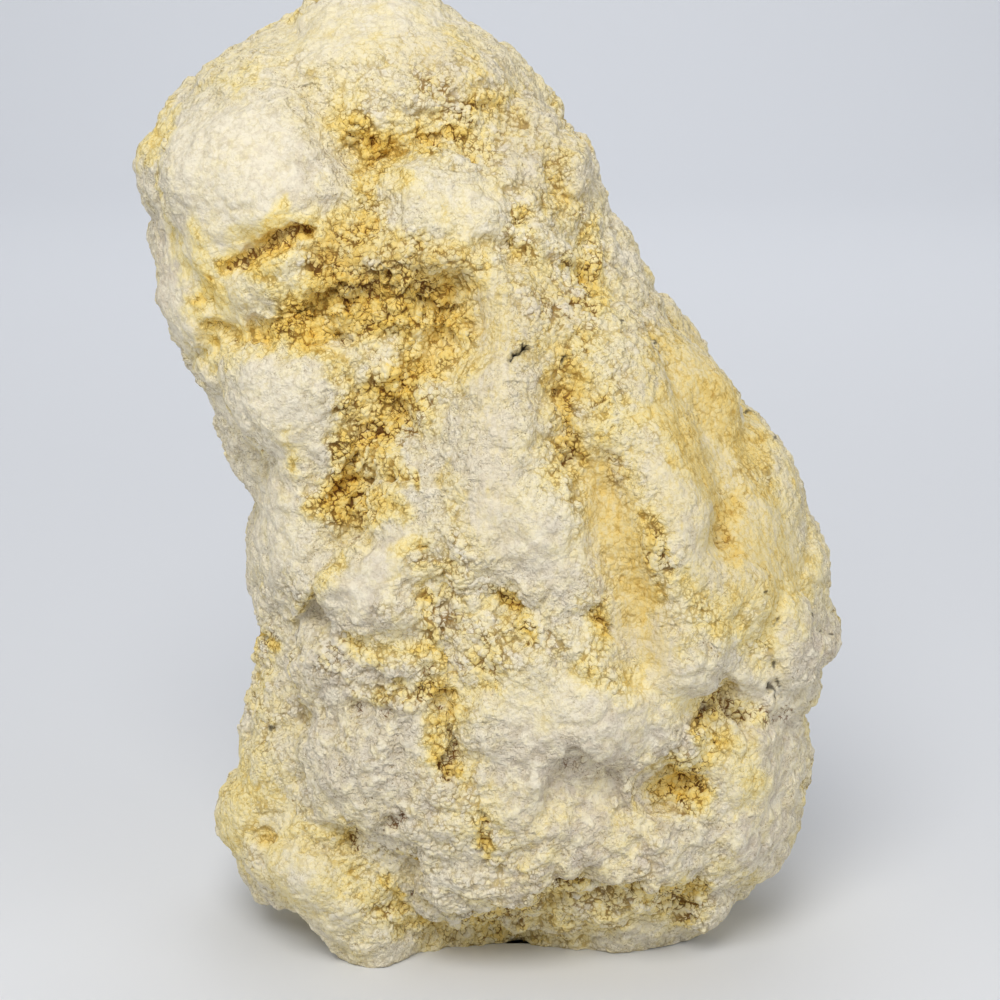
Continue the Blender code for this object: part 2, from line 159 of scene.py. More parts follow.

# Where ochre powder lies, and painted shade in ochre under the foot
POWDER = dict(
    cap_rim=(14, 16, (212, 72), (255, 25), (300, 0)),
    left_rim=(10, 42, (181, 104), (163, 135), (149, 165)),
    cap_streak=(14, 22, (456, 30), (470, 70), (480, 100)),
    shoulder_spot=(16, 34, (250, 74), (258, 70)),
    upper_band=(26, 34, (350, 125), (375, 135), (420, 138), (460, 120), (500, 108)),
    upper_heart=(15, 56, (350, 128), (372, 142), (425, 142)),
    recess_side=(15, 40, (385, 165), (400, 185)),
    recess_right=(13, 40, (455, 142), (475, 148)),
    upper_arm=(13, 44, (450, 128), (470, 105), (500, 103)),
    upper_stem=(21, 52, (372, 150), (366, 195), (340, 240)),
    above_crevice=(12, 60, (268, 228), (285, 215)),
    crevice=(13, 90, (232, 266), (258, 252), (285, 240), (306, 233)),
    under_crevice=(16, 66, (250, 268), (285, 254)),
    crevice_lip=(14, 36, (262, 278), (285, 298)),
    left_recess=(8, 66, (196, 303), (205, 285)),
    ledge=(30, 46, (335, 262), (390, 258), (455, 264)),
    ledge_foot=(13, 60, (330, 280), (385, 282), (440, 288)),
    ledge_left=(20, 24, (310, 225), (345, 240), (328, 272)),
    hollow_left=(17, 66, (272, 335), (300, 318), (335, 303)),
    hollow=(28, 84, (300, 315), (350, 304), (400, 308), (455, 318)),
    under_hollow=(16, 52, (318, 340), (335, 362), (345, 392)),
    left_fold=(10, 56, (205, 342), (262, 336)),
    fold_foot=(13, 36, (232, 356), (262, 346)),
    left_side=(20, 36, (190, 245), (205, 290), (205, 345)),
    left_brow=(15, 36, (236, 238), (272, 272)),
    hollow_bright=(11, 62, (306, 347), (330, 339)),
    hollow_gold=(16, 80, (322, 298), (352, 300)),
    hollow_end=(15, 50, (398, 340), (405, 333)),
    hollow_tip=(15, 50, (478, 284), (484, 272)),
    valley_top=(28, 50, (445, 345), (415, 370), (400, 385)),
    valley_head=(14, 60, (332, 332), (346, 330)),
    valley=(26, 72, (405, 380), (372, 430), (350, 470), (338, 500)),
    valley_apron=(34, 24, (455, 340), (450, 380), (425, 410)),
    apron_right=(15, 34, (468, 372), (470, 392)),
    neck_left=(20, 28, (350, 395), (348, 432)),
    valley_side=(14, 40, (392, 448), (398, 472)),
    valley_foot=(17, 52, (352, 510), (390, 500)),
    ridge_left=(14, 32, (452, 482), (458, 510), (466, 548)),
    small_pit=(7, 80, (412, 478)),
    facet_pit=(14, 44, (418, 545), (400, 548)),
    temple_a=(14, 40, (558, 150), (556, 205)),
    temple_b=(16, 32, (520, 220), (518, 258)),
    temple_c=(23, 60, (575, 262), (605, 285), (580, 300)),
    temple_d=(16, 42, (586, 232), (600, 262)),
    brow_top=(19, 56, (576, 345), (556, 380)),
    brow_groove=(13, 66, (556, 392), (558, 412), (566, 440), (573, 458)),
    brow_right=(13, 36, (598, 405), (604, 425)),
    chest=(24, 22, (562, 450), (575, 490)),
    flow=(24, 44, (606, 482), (618, 530), (628, 580), (632, 598)),
    flow_top=(28, 20, (625, 490), (650, 535)),
    flow_right=(15, 50, (652, 530), (658, 600)),
    flank_top=(18, 36, (640, 412), (665, 430), (695, 470)),
    flow_edge=(9, 30, (622, 530), (640, 590), (648, 640)),
    side_top=(20, 22, (668, 340), (700, 385), (728, 420)),
    side_middle=(24, 34, (670, 405), (692, 450), (724, 505)),
    side_band=(14, 50, (712, 385), (738, 412), (760, 455), (772, 490)),
    side_groove=(14, 56, (745, 500), (720, 530), (736, 558)),
    side_low=(26, 34, (785, 560), (790, 590), (720, 625)),
    flank_low=(36, 18, (690, 640), (780, 640)),
    pit_row=(13, 70, (592, 608), (602, 632)),
    pit_row_foot=(17, 34, (588, 600), (598, 640), (594, 668)),
    arc=(15, 26, (592, 668), (612, 680), (632, 674)),
    belly_top=(22, 20, (622, 700), (680, 700)),
    arch=(12, 44, (690, 585), (705, 605)),
    middle_groove=(10, 66, (498, 592), (515, 608), (520, 628)),
    middle_spot=(9, 50, (491, 689)),
    middle_right=(13, 36, (486, 640), (500, 672)),
    slot_top=(12, 40, (425, 600), (430, 650)),
    slot=(14, 70, (434, 690), (444, 715), (449, 745), (452, 770)),
    recess_a=(13, 36, (345, 640), (385, 652), (430, 658)),
    recess_b=(10, 42, (365, 696), (422, 692)),
    left_crack=(8, 36, (340, 562), (300, 605)),
    notch=(12, 66, (262, 632), (278, 645)),
    left_slope=(14, 20, (262, 655), (262, 725)),
    right_crease=(12, 40, (702, 722), (715, 707), (740, 702), (765, 716)),
    right_patch=(30, 36, (722, 735), (740, 770)),
    orange_pit=(8, 76, (720, 745)),
    crease_apron=(16, 46, (700, 742), (712, 765)),
    ochre_pit=(23, 84, (680, 782), (695, 790)),
    pit_apron=(24, 14, (676, 806)),
    low_groove=(7, 56, (482, 818), (484, 845)),
    low_right=(18, 26, (725, 860), (745, 862)),
    lobe_outer=(34, 26, (240, 795), (232, 830)),
    lobe_recess=(12, 30, (262, 838), (300, 828), (355, 840)),
    lobe_streaks=(20, 36, (352, 872), (385, 895), (400, 915)),
    bright_spot=(8, 66, (394, 884)),
    # painted shade in ochre under the foot's undercut, in the two runs below
    foot_shadow=(13, 44, (412, 932), (470, 925), (545, 900), (620, 892), (700, 890)),
    foot_low_shade=(20, 28, (440, 940), (600, 925), (700, 905)),
    orange_spot=(7, 50, (289, 462)),
    left_spot=(14, 36, (284, 448), (292, 462)),
    orange_oval=(9, 60, (655, 384)),
)

# Painted shade, brown, where crevices, hollows, pits and undercuts are darkest
PAINTED_SHADE = dict(
    crevice=(6, 100, (230, 269), (252, 257), (272, 249), (290, 238), (307, 233)),
    hollow_edge_a=(4, 70, (264, 334), (284, 314), (304, 306)),
    hollow_edge_b=(4.5, 95, (318, 294), (345, 289), (365, 294), (384, 291)),
    hollow_edge_c=(4.5, 75, (414, 286), (430, 299), (453, 305)),
    hollow_pit=(5, 60, (340, 334), (347, 338)),
    left_fold=(3.5, 50, (205, 346), (235, 343), (262, 338)),
    ledge_crack_a=(2.5, 65, (377, 262), (388, 292)),
    ledge_crack_b=(2.5, 65, (413, 258), (417, 292)),
    ledge_crack_c=(2.5, 50, (332, 256), (330, 292)),
    ledge_pits=(5, 80, (344, 288), (350, 288)),
    ledge_pit=(6, 85, (361, 291), (366, 291)),
    upper_pit_a=(6, 75, (353, 137), (358, 146)),
    upper_pit_b=(5, 75, (374, 143), (382, 141)),
    upper_pit_c=(5, 65, (420, 142), (436, 144)),
    upper_pit_d=(4, 55, (454, 130), (464, 138)),
    upper_pit_e=(4, 60, (484, 103), (490, 103)),
    valley_a=(9, 80, (386, 411), (402, 414)),
    valley_b=(7, 75, (368, 436), (358, 452), (346, 460)),
    valley_c=(6, 75, (348, 474), (344, 482)),
    valley_d=(6, 75, (340, 487), (333, 492)),
    valley_e=(7, 65, (416, 366), (404, 388)),
    valley_f=(3.5, 60, (357, 398), (357, 412)),
    facet_corner=(6, 60, (342, 546), (352, 538)),
    brow_pit=(6, 95, (557, 394)),
    brow_foot=(4.5, 90, (566, 442), (572, 457)),
    small_pit=(4.5, 80, (412, 479)),
    facet_pit=(4, 60, (421, 544)),
    middle_groove=(3.5, 80, (499, 593), (514, 606), (520, 626)),
    slot=(4.5, 75, (438, 698), (446, 712), (449, 750)),
    slot_foot=(9, 95, (450, 755), (446, 772)),
    slot_upper=(3, 40, (424, 602), (424, 630)),
    slot_pits=(6, 100, (424, 664), (428, 670)),
    slot_pit=(4, 65, (424, 685), (430, 688)),
    left_pits_a=(5, 80, (352, 708), (358, 712)),
    left_pits_b=(5, 80, (374, 712), (388, 708)),
    shelf_pit=(4.5, 55, (354, 640), (368, 645)),
    crescent=(3.5, 55, (493, 672), (497, 690)),
    lap_pit=(9, 90, (385, 824), (397, 818)),
    lobe_pit=(7, 70, (352, 828), (354, 845)),
    notch=(4, 80, (261, 631), (277, 638)),
    left_pit=(6, 50, (195, 303)),
    pit_row=(4, 75, (591, 606), (597, 616), (604, 629)),
    flow_pit=(4, 80, (623, 580)),
    flow_edge=(2.5, 50, (628, 556), (640, 618), (648, 650)),
    side_groove=(5, 50, (722, 533), (740, 547)),
    right_crease=(6.5, 95, (704, 722), (713, 708), (722, 704)),
    crease_end=(6, 90, (738, 703), (745, 718)),
    crease_tail=(9, 62, (712, 708), (748, 713), (788, 717)),
    crease_specks=(24, 38, (748, 712), (782, 716)),
    pit_specks=(18, 32, (735, 745), (742, 775)),
    undercut=(16, 52, (562, 768), (600, 774), (640, 784)),
    right_specks=(4, 60, (774, 692), (780, 690)),
    orange_pit=(4, 60, (720, 745)),
    ochre_pit=(6, 60, (668, 782), (680, 770), (692, 767), (701, 784)),
    lobe_recess=(5, 45, (262, 838), (290, 842), (352, 848)),
    lobe_step=(3.5, 75, (407, 888), (410, 932)),
    foot_a=(9, 55, (425, 938), (470, 931), (505, 934)),
    foot_b=(9, 100, (552, 890), (568, 890)),
    foot_c=(7, 75, (580, 884), (612, 892), (640, 884)),
    foot_d=(6, 50, (674, 907), (702, 903)),
    foot_e=(9, 50, (508, 930), (520, 933)),
    low_groove=(3, 70, (482, 818), (484, 843)),
)

# Black cracks and specks
BLACK = dict(
    crack=(1.5, 100, (508, 367), (513, 363), (514, 358), (520, 356), (523, 350), (528, 349)),
    crack_end=(1.0, 90, (521, 353), (519, 347)),
    small_crack=(1.6, 90, (563, 367), (568, 362)),
    ridge_crack=(1.3, 80, (618, 323), (624, 320)),
    rim_crack=(1.3, 80, (653, 343), (658, 347)),
    speck_a=(2, 80, (753, 408)),
    speck_b=(2, 70, (773, 437)),
    speck_c=(2.4, 90, (769, 594)),
    speck_d=(2, 80, (811, 617)),
    speck_e=(2, 70, (776, 620)),
    speck_f=(1.6, 80, (771, 668), (773, 674)),
    speck_g=(1.5, 80, (774, 692), (778, 695)),
    speck_h=(2.2, 80, (267, 727)),
    speck_i=(1.5, 80, (825, 634)),
    speck_j=(1.5, 70, (671, 732)),
    speck_k=(1.4, 80, (780, 686), (782, 689)),
)

# Greyish, slightly see-through patches, and painted shade: on the shoulder's lower side, under lumps of
# the chest and belly, and over the lower right and the foot
GREY_AND_SHADE = dict(
    shoulder_foot=(52, 75, (178, 262)),
    shoulder_side=(40, 45, (300, 180), (310, 210)),
    left_low=(34, 55, (300, 476)),
    facet=(36, 60, (400, 535)),
    grey_facet=(56, 65, (372, 600)),
    grey_lump=(44, 60, (328, 684)),
    grey_small=(30, 50, (385, 665)),
    belly_left=(40, 55, (395, 720)),
    hip=(55, 50, (350, 765), (420, 800)),
    lap=(60, 80, (530, 775), (640, 765)),
    flank=(46, 50, (700, 640)),
    belly=(40, 40, (620, 715), (680, 700)),
    middle_lump=(40, 40, (520, 540)),
    knob=(44, 95, (806, 640)),
    crease=(26, 70, (735, 705), (770, 720)),
    right_low=(60, 85, (745, 745), (755, 830)),
    foot=(72, 100, (625, 835), (550, 865)),
    chest=(40, 40, (560, 590), (575, 545)),
    right_ridge=(30, 35, (640, 470), (660, 520)),
    side_grey=(26, 40, (675, 545), (700, 600)),
)

# Areas with few crumbs and little relief
SOFT = dict(
    shoulder=(95, 85, (235, 165), (250, 200)),
    shoulder_low=(50, 75, (185, 270), (200, 320)),
    cap=(60, 65, (320, 25), (420, 15)),
    side=(62, 75, (700, 380), (730, 470), (770, 560)),
    white_patch=(38, 55, (430, 190), (470, 205)),
    left_lump=(52, 65, (265, 392), (285, 420)),
    lobes=(50, 55, (240, 810), (330, 900)),
    facet=(32, 75, (400, 538), (360, 590)),
    left_low=(36, 60, (285, 500), (280, 560)),
    ridge=(28, 50, (495, 300), (495, 400), (490, 520)),
    hollow_end=(24, 75, (436, 332), (447, 362)),
    brow_floor=(20, 45, (565, 432), (600, 458)),
    middle_lumps=(46, 60, (510, 520), (560, 550)),
    flow=(24, 85, (602, 478), (618, 530), (632, 590), (646, 650)),
    flank=(28, 55, (655, 420), (680, 500), (695, 560)),
    belly=(48, 60, (520, 705), (620, 715), (670, 690)),
    right_low=(55, 45, (765, 640), (760, 830)),
    lap=(45, 45, (520, 790), (620, 820)),
)

# Areas of crumbs that are as pale as the rind
CRUMBLY = dict(
    head=(60, 26, (380, 70), (470, 110), (520, 180)),
    temple=(30, 34, (515, 235), (560, 260), (575, 320)),
    neck=(36, 40, (330, 250), (420, 255)),
    valley=(38, 55, (440, 350), (380, 420), (345, 490)),
    middle=(44, 45, (440, 600), (480, 650), (530, 650)),
    left=(32, 40, (330, 660), (400, 690)),
    left_edge=(24, 40, (290, 560), (262, 640), (262, 700)),
    low=(46, 35, (420, 820), (500, 850), (440, 880)),
    crease=(34, 40, (720, 715), (690, 780)),
    foot=(24, 40, (440, 930), (600, 905), (700, 890)),
)

# Areas whose relief runs in streaks downwards
FLOW = dict(
    groove=(34, 100, (602, 470), (618, 530), (634, 595), (645, 640)),
    ridge=(30, 60, (495, 300), (495, 400), (480, 520)),
    side=(70, 90, (690, 350), (715, 450), (750, 550)),
    ledge=(26, 80, (330, 262), (450, 262)),
    head=(40, 50, (430, 60), (520, 110), (560, 190)),
    chest=(40, 60, (540, 320), (560, 420)),
)

# Swells, and undercuts below 0, that the solid is too coarse for: heights in hundredths of a mm
SWELLS = dict(
    crevice_lip=(26, 60, (240, 300), (288, 268)),
    white_patch=(34, 45, (425, 185), (468, 200)),
    temple_rib=(17, 55, (545, 212), (546, 245)),
    temple_rim=(15, 45, (572, 150), (592, 190)),
    temple_groove=(11, -45, (554, 145), (558, 195)),
    cap_knob=(26, 35, (400, 100), (440, 85)),
    ridge=(30, 40, (495, 290), (498, 400), (485, 500)),
    left_lump=(46, 50, (262, 392)),
    left_second=(34, 35, (285, 520), (275, 560)),
    facet_brow=(20, 50, (305, 582), (340, 560), (400, 565)),
    facet_hollow=(26, -35, (350, 620), (395, 640)),
    middle_lump=(38, 45, (530, 520)),
    middle_left=(30, 35, (455, 520)),
    lump_undercut=(18, -60, (515, 602), (550, 604), (580, 610)),
    flank=(26, 35, (672, 430), (690, 520)),
    belly=(36, 60, (500, 715), (560, 725), (640, 728)),
    belly_undercut=(30, -190, (565, 796), (605, 804), (640, 796)),
    right_undercut=(22, -80, (705, 716), (745, 714), (782, 718)),
    hollow_floor=(24, 130, (275, 326), (310, 312), (345, 308), (400, 308), (450, 318)),
    hollow_right=(26, 90, (425, 332), (455, 342)),
    ledge_lip=(18, -50, (310, 276), (345, 272), (400, 272), (450, 282)),
    temple_floor=(24, 100, (496, 228), (510, 245)),
    brow_floor=(28, 50, (590, 430), (540, 430), (590, 460)),
    brow_right=(22, 60, (572, 410), (590, 445)),
    valley_left=(20, 60, (335, 395), (330, 440), (328, 510)),
    slot_floor=(16, 80, (438, 630), (442, 680)),
    crack_floor=(16, 90, (300, 602), (325, 575)),
    step_floor=(18, 50, (425, 870), (420, 895)),
    pit_left=(16, 60, (646, 770), (650, 790)),
    belly_right=(22, 45, (670, 686), (700, 676)),
    hip=(44, 40, (360, 770), (400, 790)),
    lap=(34, 40, (520, 830), (640, 846)),
    low_groove=(20, -50, (606, 805), (616, 840)),
    foot_hollow=(24, -70, (560, 866), (590, 872)),
    foot_lip=(22, 80, (420, 900), (500, 892), (530, 880)),
    foot_right=(18, 45, (550, 862), (680, 868)),
    foot_undercut=(15, -80, (450, 932), (520, 930), (565, 895), (640, 892), (690, 900)),
    toe=(22, 40, (712, 915)),
    lobe_outer=(30, 40, (238, 800), (244, 845)),
    cream_lobe=(40, 50, (300, 880), (340, 920)),
    lobe_line=(12, -30, (290, 803), (262, 832)),
    knob=(30, 30, (800, 640)),
    right_low=(34, 35, (765, 770)),
    left_low_fold=(13, -40, (245, 452), (300, 455)),
    left_slope=(14, -40, (245, 745), (290, 725), (315, 718)),
    left_fold=(14, -110, (203, 348), (262, 338)),
)

# Fine hollows: depths in hundredths of a mm
FINE_HOLLOWS = dict(
    crevice=(10, 110, (230, 268), (258, 253), (285, 240), (307, 233)),
    hollow_edge_a=(9, 60, (264, 334), (284, 314), (304, 307)),
    hollow_edge_b=(10, 110, (316, 296), (345, 291), (365, 296), (385, 293)),
    hollow_edge_c=(8, 80, (412, 288), (430, 301), (454, 307)),
    ledge_crack_c=(5, 50, (332, 254), (330, 292)),
    upper_pit_c=(7, 70, (420, 142), (460, 136)),
    upper_pit_d=(6, 60, (484, 103), (490, 103)),
    valley_b=(11, 90, (368, 436), (346, 462), (344, 482), (333, 493)),
    valley_e=(9, 70, (416, 364), (404, 388)),
    facet_corner=(9, 70, (342, 547), (352, 537)),
    facet_pit=(7, 50, (421, 545)),
    middle_groove=(7, 70, (498, 592), (514, 606), (520, 628)),
    slot=(8, 90, (438, 695), (446, 712), (449, 750)),
    slot_top=(6, 30, (424, 600), (426, 635)),
    slot_pits=(8, 110, (425, 664), (427, 686)),
    left_pits=(8, 90, (352, 710), (388, 708)),
    recess_a=(7, 50, (345, 641), (372, 646)),
    recess_b=(6, 50, (385, 690), (400, 686)),
    notch=(7, 70, (258, 630), (278, 640)),
    side_groove=(9, 50, (722, 532), (740, 547)),
    right_crease=(9, 100, (704, 722), (715, 706), (740, 702), (747, 718)),
    ochre_pit=(19, 130, (684, 780), (695, 784)),
    lobe_recess=(9, 70, (262, 838), (310, 845), (355, 850)),
    lobe_step=(7, 80, (407, 888), (410, 934)),
    foot=(9, 70, (425, 938), (470, 930), (515, 932)),
    foot_pits=(10, 110, (552, 890), (568, 890), (612, 892), (640, 884)),
    low_groove=(5, 60, (482, 816), (484, 845)),
    crack=(3, 80, (508, 367), (514, 360), (522, 353), (528, 349)),
    small_crack=(3, 60, (563, 367), (568, 362)),
)

# Reach and depth of fine hollows that lie where the plan of painted shade has the same name
DARK_HOLLOWS = dict(
    hollow_pit=(7, 70), ledge_crack_a=(5, 60), ledge_crack_b=(5, 60),
    upper_pit_a=(9, 80), upper_pit_b=(8, 80), valley_a=(12, 100), brow_pit=(8, 100),
    brow_foot=(6, 50), small_pit=(7, 80), slot_foot=(12, 110), crescent=(6, 50),
    lap_pit=(11, 120), lobe_pit=(10, 80), left_pit=(9, 50), pit_row=(6, 60),
    flow_pit=(5, 50), right_specks=(8, 50), orange_pit=(9, 70),
)
FINE_HOLLOWS |= {name: size + PAINTED_SHADE[name][2:] for name, size in DARK_HOLLOWS.items()}


def smooth(low, high, value):
    """0 below low, 1 above high, and an eased way between."""
    t = np.clip((value - low) / (high - low), 0.0, 1.0)
    return t * t * (3 - 2 * t)


def hashed(cell, salt):
    """A number from 0 to 1 for each cell of whole numbers, the same on every run."""
    x, y, z = (cell[:, k].astype(np.uint32) for k in range(3))
    mixed = x * np.uint32(374761393) + y * np.uint32(668265263) + z * np.uint32(3266489917)
    mixed = mixed + np.uint32(salt * 1442695 + 97)
    mixed = (mixed ^ (mixed >> np.uint32(13))) * np.uint32(1274126177)
    mixed = (mixed ^ (mixed >> np.uint32(15))) * np.uint32(2246822519)
    return (mixed ^ (mixed >> np.uint32(16))) / 2.0**32


def ripple(points, size, salt):
    """Smooth uneven values between -1 and 1, with swells of about this size."""
    at = points / size
    low = np.floor(at).astype(np.int64)
    ease = smooth(0.0, 1.0, at - low)
    total = np.zeros(len(points))
    for corner in itertools.product((0, 1), repeat=3):
        weight = np.prod(np.where(corner, ease, 1 - ease), axis=1)
        total += weight * hashed(low + corner, salt)
    return total * 2 - 1


def fractal(points, size, salt, layers=3):
    """Ripples of several sizes, each half the one before."""
    total = sum(ripple(points, size / 2**k, salt + k) / 2**k for k in range(layers))
    return total / 1.5


def lumps(points, size, salt):
    """Uneven lumps packed side by side. Gives their height, how near each point is to a join, and a
    number that belongs to the lump, all from 0 to 1."""
    at = points / size
    low = np.floor(at).astype(np.int64)
    first = np.full(len(points), 9.0)
    second = first.copy()
    own = np.zeros(len(points))
    for step in itertools.product((-1, 0, 1), repeat=3):
        cell = low + step
        seed = cell + np.column_stack([hashed(cell, salt + k) for k in range(3)])
        gap = np.linalg.norm(at - seed, axis=1)
        nearer = gap < first
        second = np.where(nearer, first, np.minimum(second, gap))
        own = np.where(nearer, hashed(cell, salt + 3), own)
        first = np.minimum(first, gap)
    edge = second - first
    height = 0.6 * np.clip(1 - first**2, 0.0, 1.0) + 0.4 * smooth(0.0, 0.35, edge)
    return height, 1 - smooth(0.0, 0.3, edge), own


def creased(points, size, salt):
    """Lumps that meet in winding creases. Gives their height and the creases, both from 0 to 1."""
    swell = np.abs(ripple(points, size, salt))
    return np.clip(2.2 * swell, 0.0, 1.0) ** 0.7, 1 - smooth(0.0, 0.14, swell)


def pixels(points):
    """Where the camera sees each point, in pixels of the picture."""
    away = points - EYE
    depth = away @ FORWARD
    scale = DISTANCE / (depth * MM_PER_PIXEL)
    return np.column_stack((PICTURE / 2 + away[:, 0] * scale, PICTURE / 2 - (away @ UPWARD) * scale))


def facing(points, normals):
    """1 where the surface faces the camera, 0 where it is turned away."""
    towards = EYE - points
    towards /= np.linalg.norm(towards, axis=1)[:, None]
    return smooth(-0.05, 0.2, np.sum(normals * towards, axis=1))


def gap_to_run(spots, run):
    """The distance of each spot from a run of straight stretches, or from a single place."""
    run = [np.array(place, dtype=float) for place in run]
    if len(run) == 1:
        return np.linalg.norm(spots - run[0], axis=1)
    nearest = np.full(len(spots), np.inf)
    for start, end in zip(run, run[1:]):
        way = end - start
        along = np.clip((spots - start) @ way / (way @ way), 0.0, 1.0)
        gap = np.linalg.norm(spots - (start + along[:, None] * way), axis=1)
        nearest = np.minimum(nearest, gap)
    return nearest


def gaps(spots, plan):
    """For each run of a plan, the gap of every spot to it as a share of its reach, and its amount."""
    for reach, hundredths, *run in plan.values():
        yield gap_to_run(spots, run) / reach, hundredths / 100


def painted(spots, plan, core=0.2):
    """How strongly a plan covers each spot. core is the share of a run's reach that is full."""
    bare = np.ones(len(spots))
    for gap, strength in gaps(spots, plan):
        bare *= 1 - strength * (1 - smooth(core, 1.4, gap))
    return 1 - bare


def sunk(spots, plan):
    """How deep a plan of hollows goes at each spot."""
    depth = np.zeros(len(spots))
    for gap, deepest in gaps(spots, plan):
        depth = np.maximum(depth, deepest * np.clip(1 - gap**2, 0.0, None) ** 1.5)
    return depth


def swollen(spots, plan):
    """How far a plan of swells and undercuts lifts each spot."""
    return sum(highest * (1 - smooth(0.2, 1.5, gap)) for gap, highest in gaps(spots, plan))


def read_values(items, name="value", width=1):
    values = np.empty(len(items) * width, dtype=np.float32)
    items.foreach_get(name, values)
    return values.astype(float)


def read_vectors(items, name):
    return read_values(items, name, 3).reshape(-1, 3)


def places_and_normals(mesh):
    return read_vectors(mesh.vertices, "co") / MM, read_vectors(mesh.vertex_normals, "vector")


def write_places(mesh, places):
    mesh.vertices.foreach_set("co", (places * MM).astype(np.float32).ravel())
    mesh.update()


def new_object(name, data):
    """An object of the scene with this data."""
    thing = bpy.data.objects.new(name, data)
    bpy.context.scene.collection.objects.link(thing)
    return thing


def with_modifiers(thing):
    """The object's mesh with its modifiers applied."""
    ready = thing.evaluated_get(bpy.context.evaluated_depsgraph_get())
    return bpy.data.meshes.new_from_object(ready)


def eased_places(thing, passes):
    """The places of the object's points after this many smoothing passes."""
    easing = thing.modifiers.new("easing", "SMOOTH")
    easing.factor = 0.5
    easing.iterations = passes
    mesh = with_modifiers(thing)
    thing.modifiers.clear()
    places, _ = places_and_normals(mesh)
    bpy.data.meshes.remove(mesh)
    return places


def refine_front(mesh):
    """Cuts every face that the camera can see into four."""
    work = bmesh.new()
    work.from_mesh(mesh)
    eye = Vector(EYE * MM)
    front = [face for face in work.faces if face.normal.dot(eye - face.calc_center_median()) > 0]
    edges = {edge for face in front for edge in face.edges}
    bmesh.ops.subdivide_edges(work, edges=list(edges), cuts=1, use_grid_fill=True)
    work.to_mesh(mesh)
    work.free()


def fine_copy(node):
    """A fine mesh over the solid, with the solid's facets rounded off."""
    copy = new_object("fine_copy", node.data.copy())
    remesh = copy.modifiers.new("even", "REMESH")
    remesh.mode = "VOXEL"
    remesh.voxel_size = VOXEL * MM
    copy.data = with_modifiers(copy)
    copy.modifiers.clear()
    write_places(copy.data, eased_places(copy, FACET_EASING))
    return copy


def ragged(spots, places, amounts):
    """Spots moved about unevenly: each amount is a size in mm and a distance in pixels."""
    spots = spots.copy()
    for number, (size, distance) in enumerate(amounts):
        for k in range(2):
            spots[:, k] += distance * ripple(places, size, 40 + 2 * number + k)
    return spots


